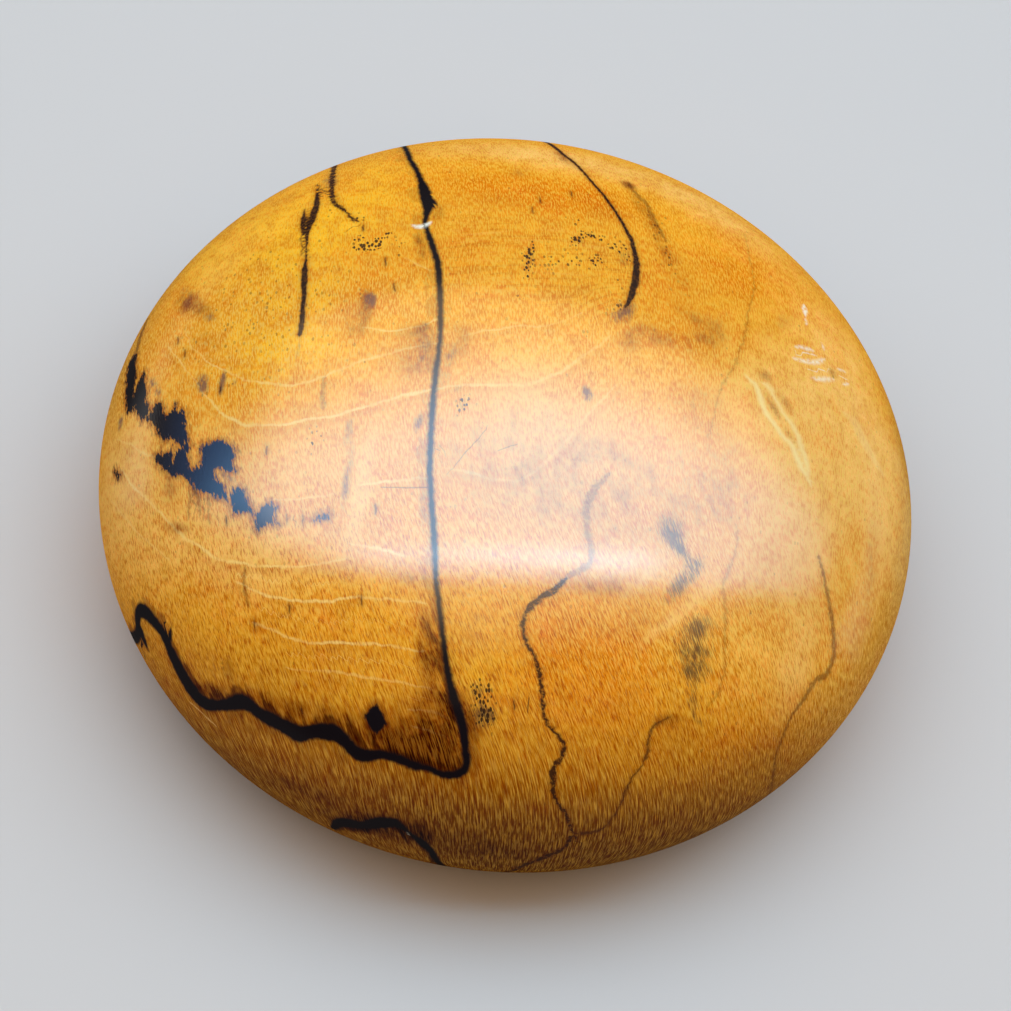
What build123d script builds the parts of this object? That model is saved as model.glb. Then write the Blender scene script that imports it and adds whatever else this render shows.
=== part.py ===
"""A turned wooden paperweight: one round, low bun of hardwood with a flat base.

Millimetres. The origin is the centre of the flat base, on the surface the
paperweight stands on, and +Z runs up the axis it was turned on.
"""

import os
from math import acos, degrees, radians, sin

from build123d import *

# ---- driving dimensions ----------------------------------------------------
DIAMETER = 90.0          # across the widest ring
DOME_RISE = 26.0         # from the widest ring up to the top
RING_HEIGHT = 15.0       # from the base up to the widest ring
BASE_INSET = 8.2         # how far the belly curls in under the ring to the base
BASE_EDGE_RADIUS = 2.0   # sanded edge between the belly and the base

# ---- sizes that follow from them -------------------------------------------
ring_radius = DIAMETER / 2
base_radius = ring_radius - BASE_INSET
ring_centre = (0, RING_HEIGHT)

# The belly is the first stretch of a quarter ellipse that leaves the ring level
# with the dome. It stops where that ellipse has come in to the base's radius,
# and its depth is what brings it down to the base just there.
belly_sweep = degrees(acos(base_radius / ring_radius))
belly_depth = RING_HEIGHT / sin(radians(belly_sweep))


# ---- the paperweight -------------------------------------------------------
# Half of the section through the axis, drawn from the top down to the base and
# spun once round the axis, as on the lathe.
with BuildPart() as paperweight:
    with BuildSketch(Plane.XZ) as half_section:
        with BuildLine():
            dome = EllipticalCenterArc(
                ring_centre, ring_radius, DOME_RISE, start_angle=90, arc_size=-90
            )
            belly = EllipticalCenterArc(
                ring_centre, ring_radius, belly_depth, start_angle=0, arc_size=-belly_sweep
            )
            Polyline(belly @ 1, (0, 0), dome @ 0)
        make_face()
        base_corner = half_section.vertices().group_by(Axis.Y)[0].sort_by(Axis.X)[-1]
        fillet(base_corner, BASE_EDGE_RADIUS)
    revolve(axis=Axis.Z)

paperweight.part.label = "paperweight"

os.makedirs("parts", exist_ok=True)
export_step(paperweight.part, "parts/paperweight.step")
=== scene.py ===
"""Looks for the turned wooden paperweight: one low bun of spalted hardwood.

The body is spun in Geometry Nodes from the same few sizes as the CAD solid. The wood's
black zone lines, rot stains and growth rings are laid out on a flat chart of the turned
surface, in millimetres: u and v are the distance from the top centre, measured over the
dome, along +X and +Y. Python works out how far every vertex is from each mark, and the
wood's shader turns those distances into colour, gloss and relief.
"""

from math import acos, cos, pi, radians, sin

import bmesh
import bpy
import numpy as np
from mathutils import Matrix, Vector
from mathutils.kdtree import KDTree


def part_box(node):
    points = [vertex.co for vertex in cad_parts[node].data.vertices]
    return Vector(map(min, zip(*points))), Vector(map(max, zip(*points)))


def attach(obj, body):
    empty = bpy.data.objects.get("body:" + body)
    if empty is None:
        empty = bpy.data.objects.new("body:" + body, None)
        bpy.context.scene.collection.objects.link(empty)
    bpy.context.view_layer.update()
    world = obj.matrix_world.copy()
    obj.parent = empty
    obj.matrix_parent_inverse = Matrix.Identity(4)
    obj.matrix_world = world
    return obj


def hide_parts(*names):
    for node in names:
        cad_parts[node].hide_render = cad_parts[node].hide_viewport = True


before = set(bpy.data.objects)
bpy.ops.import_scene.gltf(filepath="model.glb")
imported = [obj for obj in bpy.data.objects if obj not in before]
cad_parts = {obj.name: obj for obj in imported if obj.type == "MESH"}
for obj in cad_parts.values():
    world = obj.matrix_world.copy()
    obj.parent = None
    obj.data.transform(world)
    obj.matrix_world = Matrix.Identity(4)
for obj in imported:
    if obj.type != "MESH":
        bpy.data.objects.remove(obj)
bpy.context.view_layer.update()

MM = 0.001
SCENE = bpy.context.scene
SCENE.view_settings.view_transform = "Standard"

# ---- the body's sizes, in metres ---------------------------------------------
low_corner, high_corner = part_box("paperweight")
RING_RADIUS = (high_corner.x - low_corner.x) / 2
TOP_HEIGHT = high_corner.z - low_corner.z
RING_HEIGHT = 15 * MM       # the widest ring stands this far above the base
BASE_INSET = 8.2 * MM       # the belly curls in this far under the ring
EDGE_SOFTNESS = 1.6 * MM    # sanded edge between the belly and the base
DOME_RISE = TOP_HEIGHT - RING_HEIGHT
BASE_RADIUS = RING_RADIUS - BASE_INSET
BELLY_SWEEP = acos(BASE_RADIUS / RING_RADIUS)
BELLY_DEPTH = RING_HEIGHT / sin(BELLY_SWEEP)
MERGE_GAP = 0.002 * MM      # points closer than this are made one
LATHE_SIZES = {
    "Ring Radius": RING_RADIUS,
    "Dome Rise": DOME_RISE,
    "Ring Height": RING_HEIGHT,
    "Belly Depth": BELLY_DEPTH,
    "Belly Sweep": BELLY_SWEEP,
    "Edge Softness": EDGE_SOFTNESS,
}
LATHE_STEPS = {
    "Dome Steps": 140,      # rows of faces from the top to the ring
    "Belly Steps": 42,      # and from the ring to the base
    "Base Steps": 16,       # and over the flat base
    "Turn Steps": 440,      # faces round the body
}


# ---- arithmetic with nodes ------------------------------------------------------
class Field:
    """A number, colour, place or shape in a node tree, so that its nodes read as arithmetic.

    New nodes go into `Field.tree`, which is set to the tree in hand.
    """

    tree = None

    def __init__(self, socket):
        self.socket = socket

    @classmethod
    def make(cls, kind, inputs, output=0, **settings):
        node = cls.tree.nodes.new(kind)
        for name, value in settings.items():
            setattr(node, name, value)
        for slot, value in inputs.items():
            if isinstance(value, Field):
                cls.tree.links.new(value.socket, node.inputs[slot])
            else:
                node.inputs[slot].default_value = value
        return cls(node.outputs[output])

    @classmethod
    def maths(cls, operation, *values):
        return cls.make("ShaderNodeMath", dict(enumerate(values)), operation=operation)

    @classmethod
    def plain(cls, colour):
        even = cls.make("ShaderNodeRGB", {})
        even.socket.default_value = colour
        return even

    def __add__(self, other):
        return Field.maths("ADD", self, other)

    def __sub__(self, other):
        return Field.maths("SUBTRACT", self, other)

    def __rsub__(self, other):
        return Field.maths("SUBTRACT", other, self)

    def __mul__(self, other):
        return Field.maths("MULTIPLY", self, other)

    def __truediv__(self, other):
        return Field.maths("DIVIDE", self, other)

    def __rtruediv__(self, other):
        return Field.maths("DIVIDE", other, self)

    __radd__ = __add__

    def size(self):
        return Field.maths("ABSOLUTE", self)

    def goes_to(self, socket):
        Field.tree.links.new(self.socket, socket)

    def or_more(self, other):
        return Field.maths("MAXIMUM", self, other)

    def or_less(self, other):
        return Field.maths("MINIMUM", self, other)

    def ramp(self, low, high, at_low=0.0, at_high=1.0):
        """Eases from one value to another as this one goes from low to high."""
        ends = {"Value": self, "From Min": low, "From Max": high, "To Min": at_low, "To Max": at_high}
        return Field.make("ShaderNodeMapRange", ends, interpolation_type="SMOOTHSTEP")

    def parts(self):
        """The three numbers of this place or colour, apart."""
        apart = Field.make("ShaderNodeSeparateXYZ", {0: self}).socket.node
        return [Field(socket) for socket in apart.outputs]

    def towards(self, colour, amount, blend="MIX"):
        """This colour, mixed with another by an amount."""
        settings = {"data_type": "RGBA", "clamp_factor": True, "blend_type": blend}
        return Field.make("ShaderNodeMix", {0: amount, 6: self, 7: colour}, output=2, **settings)

    def dyed(self, dye, amount):
        """This colour seen through a dye of some strength, which keeps the grain in it."""
        return self.towards(dye, amount, blend="MULTIPLY")

    def times(self, brightness):
        """This colour, made lighter or darker."""
        return Field.make("ShaderNodeVectorMath", {0: self, "Scale": brightness}, operation="SCALE")

    def turned(self, degrees_round, stretch_along, stretch_across):
        """Places measured along a direction and across it, in stretched units."""
        inputs = {
            "Vector": self,
            "Rotation": (0, 0, radians(degrees_round)),
            "Scale": (stretch_along, stretch_across, 1),
        }
        return Field.make("ShaderNodeMapping", inputs, vector_type="TEXTURE")

    def noise(self, size, detail=2.0, roughness=0.5):
        """Cloudy noise with lumps of about this size, averaging one half."""
        inputs = {"Vector": self, "Scale": 1 / size, "Detail": detail, "Roughness": roughness}
        return Field.make("ShaderNodeTexNoise", inputs, noise_dimensions="2D")


# ---- camera, floor and light ---------------------------------------------------
def place_camera():
    """A long lens looking down on the dome, rolled a little to one side."""
    tilt_down = radians(57.14)
    roll = radians(11.61)
    distance = 350 * MM
    aside, under = -0.30 * MM, -1.72 * MM
    ring_centre = Vector((0, 0, RING_HEIGHT))
    look = Vector((0, cos(tilt_down), -sin(tilt_down)))
    level_right = Vector((1, 0, 0))
    level_up = level_right.cross(look)
    right = cos(roll) * level_right + sin(roll) * level_up
    up = right.cross(look)
    data = bpy.data.cameras.new("camera")
    data.lens = 112.5
    data.sensor_width = 36
    data.clip_start = 0.01
    camera = bpy.data.objects.new("camera", data)
    turned = Matrix((right, up, -look)).transposed().to_4x4()
    eye = ring_centre - distance * look + aside * right + under * up
    camera.matrix_world = Matrix.Translation(eye) @ turned
    SCENE.collection.objects.link(camera)
    SCENE.camera = camera


SKY_BLUE = (0.28, 0.62, 1.0)
PALE_BLUE = (0.42, 0.76, 1.0)
LAMP_WARM = (1.0, 0.715, 0.44)
WARM_WHITE = (1.0, 0.95, 0.90, 1)
PALE_BENCH = (0.60, 0.54, 0.48, 1)


def hang_panel(name, centre, size, turn, strength, tint):
    """A flat rectangular lamp that hangs level and faces down."""
    data = bpy.data.lights.new(name, "AREA")
    data.shape = "RECTANGLE"
    data.size, data.size_y = size
    data.energy = strength * pi * size[0] * size[1]
    data.color = tint
    lamp = bpy.data.objects.new(name, data)
    lamp.matrix_world = Matrix.Translation(centre) @ Matrix.Rotation(turn, 4, "Z")
    SCENE.collection.objects.link(lamp)
    return lamp


def fade_panel(lamp, brightest, half_reach, full_depth=1.0, last_depth=2.0, last_glow=1.0):
    """Dims a lamp away from its brightest place along its length, and towards its far edge.

    `half_reach` is how far along the lamp its light has fallen to half. It stays full as
    far as `full_depth` in from the near edge, and is down to `last_glow` at `last_depth`.
    """
    data = lamp.data
    data.use_nodes = True
    Field.tree = data.node_tree
    across = lamp.matrix_world.to_3x3() @ Vector((1, 0, 0))
    away = lamp.matrix_world.to_3x3() @ Vector((0, 1, 0))
    place = Field.make("ShaderNodeNewGeometry", {}, output="Position")

    def along(direction, start):
        both = {0: place, 1: direction}
        dot = Field.make("ShaderNodeVectorMath", both, output="Value", operation="DOT_PRODUCT")
        return dot - Vector(start).dot(direction)

    aside = along(across, brightest) / half_reach
    spread = 1.0 / (aside * aside + 1.0)
    near_edge = lamp.location - away * data.size_y / 2
    depth = along(away, near_edge).ramp(full_depth, last_depth, 1.0, last_glow)
    (spread * depth).goes_to(Field.tree.nodes["Emission"].inputs["Strength"])


def light_the_bench():
    """A wide cool panel, a thin strip just below it by its near edge, and a dim warm ceiling."""
    turn = radians(12)
    panel = hang_panel(
        "cool_panel", centre=(0, 0.20, 0.64), size=(4.4, 0.66), turn=turn, strength=3.5, tint=SKY_BLUE
    )
    fade_panel(panel, (0.05, 0.2, 0.64), half_reach=0.85, full_depth=0.28, last_depth=0.63, last_glow=0.12)
    strip = hang_panel(
        "edge_strip", centre=(0, -0.076, 0.62), size=(0.66, 0.010), turn=turn, strength=16, tint=PALE_BLUE
    )
    fade_panel(strip, (0.30, -0.01, 0.62), half_reach=0.34)
    hang_panel("warm_ceiling", centre=(0, 0, 1.8), size=(4, 4), turn=0, strength=1.07, tint=LAMP_WARM)
    world = bpy.data.worlds.new("studio")
    world.use_nodes = True
    sky = world.node_tree.nodes["Background"]
    sky.inputs["Color"].default_value = WARM_WHITE
    sky.inputs["Strength"].default_value = 0.08
    SCENE.world = world


def lay_floor():
    """A plain pale bench top."""
    half = 3.0
    mesh = bpy.data.meshes.new("floor")
    corners = [(-half, -half, 0), (half, -half, 0), (half, half, 0), (-half, half, 0)]
    mesh.from_pydata(corners, [], [(0, 1, 2, 3)])
    floor = bpy.data.objects.new("floor", mesh)
    SCENE.collection.objects.link(floor)
    paint = bpy.data.materials.new("bench_top")
    paint.use_nodes = True
    shader = paint.node_tree.nodes["Principled BSDF"]
    shader.inputs["Base Color"].default_value = PALE_BENCH
    shader.inputs["Roughness"].default_value = 0.8
    mesh.materials.append(paint)


# ---- the turned body ------------------------------------------------------------
def spin_tree(wood):
    """A grid of profile steps by turn steps, bent into the closed turned shape."""
    tree = Field.tree = bpy.data.node_groups.new("spin_on_the_lathe", "GeometryNodeTree")
    outside = tree.interface
    outside.new_socket("Body", in_out="OUTPUT", socket_type="NodeSocketGeometry")
    for name in LATHE_SIZES:
        outside.new_socket(name, in_out="INPUT", socket_type="NodeSocketFloat")
    for name in LATHE_STEPS:
        outside.new_socket(name, in_out="INPUT", socket_type="NodeSocketInt")
    given = tree.nodes.new("NodeGroupInput").outputs
    sizes = [Field(given[name]) for name in LATHE_SIZES]
    ring_radius, dome_rise, ring_height, belly_depth, whole_belly, softness = sizes
    dome_steps, belly_steps, base_steps, turn_steps = (Field(given[name]) for name in LATHE_STEPS)

    rows = dome_steps + belly_steps + base_steps
    squares = {"Size X": rows, "Size Y": 2 * pi, "Vertices X": rows + 1.0, "Vertices Y": turn_steps + 1.0}
    grid = Field.make("GeometryNodeMeshGrid", squares, output="Mesh")
    from_middle, turn, _ = Field.make("GeometryNodeInputPosition", {}).parts()

    # Each row's sweep angle down from the top: close rows on the dome, spread as evenly
    # over its surface as on the ring, then the belly's short sweep, then the flat base.
    row = rows * 0.5 + from_middle
    below_dome = row - dome_steps
    below_belly = below_dome - belly_steps
    on_dome = (row / dome_steps).or_less(1.0)
    on_belly = (below_dome / belly_steps).or_more(0.0).or_less(1.0)
    on_base = (below_belly / base_steps).or_more(0.0)
    at_top, quickening = pi * 3 / 8, pi / 8
    dome_and_belly = on_dome * (on_dome * quickening + at_top) + on_belly * whole_belly
    sweep = dome_and_belly + on_base * (pi / 2 - whole_belly)
    radius = ring_radius * Field.maths("SINE", sweep)
    rise = Field.maths("COSINE", sweep)
    free_height = rise.or_more(0.0) * dome_rise + rise.or_less(0.0) * belly_depth + ring_height
    height = Field.maths("SMOOTH_MAX", free_height, 0.0, softness)
    around = {"X": radius * Field.maths("COSINE", turn), "Y": radius * Field.maths("SINE", turn), "Z": height}
    place = Field.make("ShaderNodeCombineXYZ", around)
    shape = Field.make("GeometryNodeSetPosition", {"Geometry": grid, "Position": place})
    shape = Field.make("GeometryNodeMergeByDistance", {"Geometry": shape, "Distance": MERGE_GAP})
    shape = Field.make("GeometryNodeSetShadeSmooth", {"Geometry": shape})
    shape = Field.make("GeometryNodeRealizeInstances", {"Geometry": shape})
    shape = Field.make("GeometryNodeSetMaterial", {"Geometry": shape, "Material": wood})
    shape.goes_to(tree.nodes.new("NodeGroupOutput").inputs["Body"])
    return tree


def turn_body(wood):
    """The closed mesh of the paperweight, standing on z = 0."""
    sizes = {**LATHE_SIZES, **LATHE_STEPS}
    tree = spin_tree(wood)
    blank = bpy.data.objects.new("blank", bpy.data.meshes.new("blank"))
    SCENE.collection.objects.link(blank)
    lathe = blank.modifiers.new("lathe", "NODES")
    lathe.node_group = tree
    for item in tree.interface.items_tree:
        if item.item_type == "SOCKET" and item.in_out == "INPUT":
            lathe[item.identifier] = sizes[item.name]
    view = bpy.context.evaluated_depsgraph_get()
    view.update()
    mesh = bpy.data.meshes.new_from_object(blank.evaluated_get(view))
    blank.modifiers.clear()
    bpy.data.objects.remove(blank)
    mesh.name = "paperweight_body"
    body = bpy.data.objects.new("paperweight_body", mesh)
    SCENE.collection.objects.link(body)
    return body


def point_outwards(mesh):
    """Turns the faces over if the spin left them looking inwards."""
    shell = bmesh.new()
    shell.from_mesh(mesh)
    bmesh.ops.recalc_face_normals(shell, faces=shell.faces)
    shell.to_mesh(mesh)
    shell.free()


# ---- the chart of the surface -----------------------------------------------------
CHART_SPAN = 160            # millimetres across the whole chart
BASE_OFFSET = 200           # the flat base has its own plan, this far along u
FLAT_RADIUS = 36            # of the flat base, in millimetres
BODY_DISC = (0.41, 0.405)   # middle and radius of the body's disc in the second map
BASE_DISC = (0.83, 0.16)    # and of the base's, both as shares of the map's width


def profile_lengths():
    """Sweep angle from the top down to the base edge, and the distance over the surface."""
    stops = 4001
    sweep = np.linspace(0, pi, stops)
    depth = np.where(sweep < pi / 2, DOME_RISE, BELLY_DEPTH)
    slope = np.hypot(RING_RADIUS * np.cos(sweep), depth * np.sin(sweep))
    steps = (slope[1:] + slope[:-1]) / 2 * np.diff(sweep)
    return sweep, np.concatenate([[0], np.cumsum(steps)])


def chart_of(points):
    """Chart place (u, v) in millimetres of points on the dome and the belly."""
    out = np.hypot(points[:, 0], points[:, 1])
    over = points[:, 2] - RING_HEIGHT
    depth = np.where(over > 0, DOME_RISE, BELLY_DEPTH)
    sweep = np.arctan2(out / RING_RADIUS, over / depth)
    length = np.interp(sweep, *profile_lengths())
    scale = length / np.maximum(out, 1e-9)
    return points[:, :2] * scale[:, None] / MM


def plan_of(points):
    """Place of points on the flat base, on its own plan beside the chart."""
    return points[:, :2] / MM + (BASE_OFFSET, 0)


def points_of(mesh):
    """Where a mesh's points are, one row each."""
    points = np.empty(len(mesh.vertices) * 3)
    mesh.vertices.foreach_get("co", points)
    return points.reshape(-1, 3)


def is_flat(points):
    """True for points on the flat base, inside its sanded edge."""
    out = np.hypot(points[:, 0], points[:, 1])
    return (out < BASE_RADIUS - EDGE_SOFTNESS) & (points[:, 2] < EDGE_SOFTNESS)


def unroll(mesh):
    """Gives the body its chart, and a second map of two discs that no two faces share."""
    points = points_of(mesh)
    over, under = chart_of(points), plan_of(points)
    corners = np.empty(len(mesh.loops), int)
    mesh.loops.foreach_get("vertex_index", corners)
    flat = is_flat(points)
    of_face = np.empty(len(mesh.loops), bool)
    for face in mesh.polygons:
        of_face[list(face.loop_indices)] = all(flat[list(face.vertices)])
    chart = np.where(of_face[:, None], under[corners], over[corners])
    base_middle, base_reach = BASE_DISC
    body_middle, body_reach = BODY_DISC
    base_disc = (under[corners] - (BASE_OFFSET, 0)) * (base_reach / FLAT_RADIUS) + base_middle
    body_disc = over[corners] * (body_reach / np.hypot(*over.T).max()) + body_middle
    discs = np.where(of_face[:, None], base_disc, body_disc)
    for name, places in (("chart", chart / CHART_SPAN + 0.5), ("OFBake", discs)):
        layer = mesh.uv_layers.new(name=name)
        layer.data.foreach_set("uv", places.ravel())


# ---- the marks in the wood, laid out on the chart ------------------------------------
# Lines are lists of (u, v, half width) in millimetres. Neighbouring lines of one kind run
# in opposite directions, so that the side between them has the same sign for both.
MAIN_ZONE_LINE = [
    (-31, 74, 0.5), (-27, 56, 0.5), (-22, 41, 0.38), (-19, 31, 0.36), (-17.5, 27.5, 0.36),
    (-16.6, 25, 0.45), (-16, 23.3, 0.7), (-15.3, 21.3, 0.8), (-14.9, 19.7, 0.6), (-14.9, 18, 0.34),
    (-14.7, 16.5, 0.3), (-13.6, 14, 0.4), (-12.2, 10.5, 0.4), (-11.3, 6.5, 0.36), (-10.6, 3, 0.32),
    (-10.1, 0, 0.3), (-9.8, -4, 0.32), (-9.4, -8, 0.36), (-9, -11, 0.34), (-8.4, -15, 0.32),
    (-7.4, -19, 0.34), (-6.3, -23, 0.34), (-5.5, -26.5, 0.32), (-4.3, -30, 0.32), (-3, -34, 0.34),
    (-2, -36.5, 0.42), (-1, -38.4, 0.5), (0, -40, 0.5), (0.7, -41.6, 0.42), (1.1, -43, 0.4),
    (1.6, -44.2, 0.42), (1.6, -45.2, 0.46), (0.8, -45.9, 0.46), (-0.6, -46.3, 0.42), (-2.5, -45.8, 0.3),
    (-4, -45.9, 0.5), (-6, -45.4, 0.48), (-8, -45.3, 0.48), (-9.6, -45.8, 0.7), (-10.6, -45.8, 0.75),
    (-11.7, -45.1, 0.66), (-12.5, -44.3, 0.7), (-13.7, -43.8, 0.95), (-15.5, -43.9, 0.85),
    (-16.8, -44.3, 0.7), (-17.8, -44.7, 1), (-18.9, -44.3, 0.8), (-20, -43.9, 0.8), (-22, -43.3, 0.8),
    (-23.4, -42.8, 0.6), (-24.5, -42, 0.75), (-25.5, -41.8, 0.95), (-27, -42.3, 0.75), (-29, -42.7, 0.6),
    (-31, -42.8, 0.85), (-32.3, -42.3, 0.9), (-33.6, -41, 1), (-34.7, -39.4, 0.9), (-35.7, -37.8, 0.85),
    (-36.5, -36.2, 0.7), (-37.3, -34.6, 0.65), (-38.4, -33.6, 0.7), (-39.7, -32.6, 0.85),
    (-40.9, -31.8, 0.95), (-42, -31.7, 0.9), (-42.8, -32.6, 0.8), (-43, -33.9, 0.85), (-44, -34.8, 0.9),
    (-46, -35.1, 0.9), (-50, -34.8, 0.8), (-56, -33, 0.8), (-66, -32, 0.7),
]
HOOK_SPUR = [(-42.6, -34, 0.8), (-42.2, -35.4, 0.6), (-41.6, -36.3, 0.2)]
HOOK_THORN = [(-36.2, -35, 0.5), (-35.8, -34, 0.1)]
FRONT_ZONE_LINE = [
    (-14.8, -59, 0.4), (-13.4, -56.6, 0.8), (-12.2, -55.9, 1), (-10.6, -55.7, 0.7), (-9.2, -55.3, 0.65),
    (-7.4, -54.2, 0.9), (-5.4, -53.6, 0.7), (-4.2, -54.2, 0.3), (-3, -55.2, 0.2), (-1.9, -56, 0.7),
    (-0.4, -57.5, 0.5), (2, -64, 0.6),
]
KNOT_THORN = [(-15.3, 21.7, 0.5), (-14.7, 21, 0.45), (-14, 20.3, 0.1)]
ZONE_LINES = [
    (1, MAIN_ZONE_LINE), (1, HOOK_SPUR), (1, HOOK_THORN), (1, KNOT_THORN), (1, FRONT_ZONE_LINE),
]

LEFT_VEIN = [
    (-29.5, 27, 0.08), (-28.8, 24.2, 0.22), (-28.3, 22, 0.36), (-28, 20, 0.42), (-27.9, 18, 0.46),
    (-28, 16.5, 0.36), (-27.8, 15, 0.24), (-27.4, 13, 0.12), (-27, 11.3, 0.12), (-26.9, 10, 0.2),
    (-26.7, 8.8, 0.38), (-26.3, 7, 0.36), (-25.9, 5, 0.28), (-25.6, 3, 0.28), (-25.3, 1.2, 0.32),
    (-25.2, -0.4, 0.3),
]
LEFT_VEIN_LENS = [
    (-28.4, 15.5, 0.14), (-28.7, 16.8, 0.34), (-28.9, 17.9, 0.38), (-29.2, 19, 0.22), (-29.5, 20.6, 0.05),
]
LEFT_VEIN_THREAD = [(-27.6, 11.6, 0.08), (-28.1, 13.5, 0.1), (-28.6, 15.2, 0.12)]
SPECKLED_VEIN = [
    (-22.2, 16.9, 0.1), (-22.7, 17.1, 0.28), (-23.2, 17.7, 0.24), (-23.7, 18.4, 0.08), (-24.2, 19.1, 0.2),
    (-24.6, 19.7, 0.32), (-25.2, 20.1, 0.32), (-25.8, 20.8, 0.38), (-26.4, 22, 0.28), (-27, 24, 0.36),
    (-27.6, 26.5, 0.34), (-28.2, 29.5, 0.34), (-29, 33, 0.4), (-31, 40, 0.45), (-36, 52, 0.4),
    (-42, 61, 0.4),
]
TOP_VEIN = [
    (-15, 73, 0.4), (-8, 55, 0.36), (-3, 40, 0.34), (-1.5, 36.5, 0.28), (0.3, 33.8, 0.22), (2, 30.5, 0.2),
    (4, 27.3, 0.2), (6, 23.7, 0.22), (7.8, 20, 0.28), (8.7, 16.5, 0.38), (8.9, 13.5, 0.46), (8.7, 11, 0.36),
    (8.3, 9.3, 0.2),
]
DOT_VEIN_TOP = [
    (9.8, -11.6, 0.2), (9, -13, 0.34), (8.4, -14.5, 0.4), (8.3, -16.5, 0.4), (8.9, -18.6, 0.28),
    (9.8, -20.3, 0.28), (9.8, -21.6, 0.3), (9, -22.6, 0.3), (7.7, -23.6, 0.36),
]
DOT_VEIN = [
    (7.6, -23.8, 0.3), (7.1, -24.9, 0.36), (5.8, -26, 0.36), (4.6, -27.5, 0.34), (4.1, -29.1, 0.26),
    (4.8, -30.8, 0.2), (6, -32, 0.2), (7, -33.5, 0.28), (7.8, -35.3, 0.28), (8.3, -37, 0.3),
    (8.8, -38.2, 0.26), (9.8, -39, 0.2), (11.2, -39.7, 0.2), (11.7, -40.6, 0.34), (11.8, -41.6, 0.34),
    (11, -42.6, 0.34), (11.2, -43.8, 0.4), (11.8, -45.2, 0.3), (12.7, -46.6, 0.2), (13.8, -47.3, 0.2),
    (14.9, -48.5, 0.2), (15.9, -49.9, 0.26), (16.1, -51, 0.34), (16, -52.6, 0.3), (14.5, -54.6, 0.4),
    (12.5, -57, 0.4), (10, -66, 0.5), (9, -75, 0.5),
]
DOT_VEIN_BRANCH = [
    (16, -50, 0.2), (17.5, -49.7, 0.26), (19.3, -49, 0.26), (20, -47.2, 0.16), (20.3, -45, 0.16),
    (20.1, -43, 0.22), (20.5, -41, 0.16), (21.1, -39.5, 0.16), (20.8, -37.8, 0.22), (20.5, -36.2, 0.18),
    (21.3, -35, 0.16), (22.4, -34.2, 0.1),
]
RIGHT_VEIN = [
    (35, -11.5, 0.15), (37.5, -15.3, 0.26), (39.4, -18, 0.32), (41, -21, 0.36), (41, -23, 0.4),
    (39.2, -24.5, 0.36), (38.6, -27, 0.3), (37.6, -29.5, 0.22), (37.9, -32, 0.2), (38.4, -34.4, 0.2),
    (41, -37, 0.22), (46, -40, 0.3), (54, -43, 0.4), (62, -40, 0.4),
]
VEINS = [
    (1.0, LEFT_VEIN), (1.0, LEFT_VEIN_LENS), (0.7, LEFT_VEIN_THREAD), (0.9, SPECKLED_VEIN), (1.0, TOP_VEIN),
    (0.45, DOT_VEIN_TOP), (0.85, DOT_VEIN), (0.7, DOT_VEIN_BRANCH), (0.55, RIGHT_VEIN),
    (0.6, [(-29.2, 26.2, 0.1), (-28.6, 25.2, 0.2), (-28, 24.4, 0.14), (-27.5, 23.6, 0.08)]),
    (0.5, [(11.6, 21.8, 0.15), (10, 25.3, 0.25), (8.8, 28.5, 0.3), (7.5, 30, 0.3), (6.3, 32.5, 0.15)]),
    (0.3, [(21.2, 31, 0.02), (21.8, 25, 0.06), (22.5, 20, 0.1), (22, 15, 0.12), (21.7, 10, 0.08),
           (21, 6, 0.08), (20, 2.7, 0.1), (19.5, -4, 0.02)]),
    (0.28, [(24.3, -12.5, 0.1), (25, -15, 0.14), (24.2, -19.5, 0.16), (25.4, -22.3, 0.22),
            (26, -25, 0.14), (27, -28, 0.16), (27.2, -30, 0.16), (26.2, -32, 0.1)]),
    (0.5, [(-26.3, -27.5, 0.15), (-26, -29.5, 0.26), (-25.2, -31.6, 0.1)]),
    (0.6, [(-49.6, 10, 0.3), (-49.1, 6.5, 0.5), (-48.4, 3.2, 0.3)]),
    (0.4, [(-21.4, -6, 0.15), (-21.1, -8, 0.28), (-20.8, -9.7, 0.12)]),
    (0.45, [(-33.8, -18.8, 0.3), (-33, -20.2, 0.2), (-32.5, -22, 0.1)]),
    (0.45, [(-31.9, -19.5, 0.15), (-31.6, -21.2, 0.14), (-31.3, -22.8, 0.08)]),
    (0.4, [(-34.4, -18.5, 0.1), (-34.2, -20.5, 0.2), (-34, -22.3, 0.1)]),
    (0.6, [(34, 42, 0.2), (40, 52, 0.5), (52, 50, 0.4), (66, 30, 0.4)]),
    (0.5, [(60, -4, 0.3), (57, 8, 0.5), (62, 17, 0.4), (72, 22, 0.4)]),
]
# Short dark dashes that lean with the grain: (u, v, half width).
DASHES = [
    (-21.5, 15.8, 0.2), (-17.9, 10.3, 0.16), (-16.2, 6.5, 0.12), (-29.2, -22.4, 0.16), (-20.4, -31.5, 0.18),
    (-17.7, -41.9, 0.24), (-12.7, -29.9, 0.18), (-13, -20.3, 0.16), (-39, -1.2, 0.12), (-40.6, 1.2, 0.1),
    (-33, -7, 0.24), (-24.2, -33.4, 0.16), (-22.3, -22.1, 0.1), (-20.5, -22.1, 0.12), (0.3, 26.2, 0.14),
    (-3, 23.7, 0.16), (-3.6, 21.5, 0.1), (5.2, -37.4, 0.14), (-26, -14.6, 0.1),
]
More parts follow.
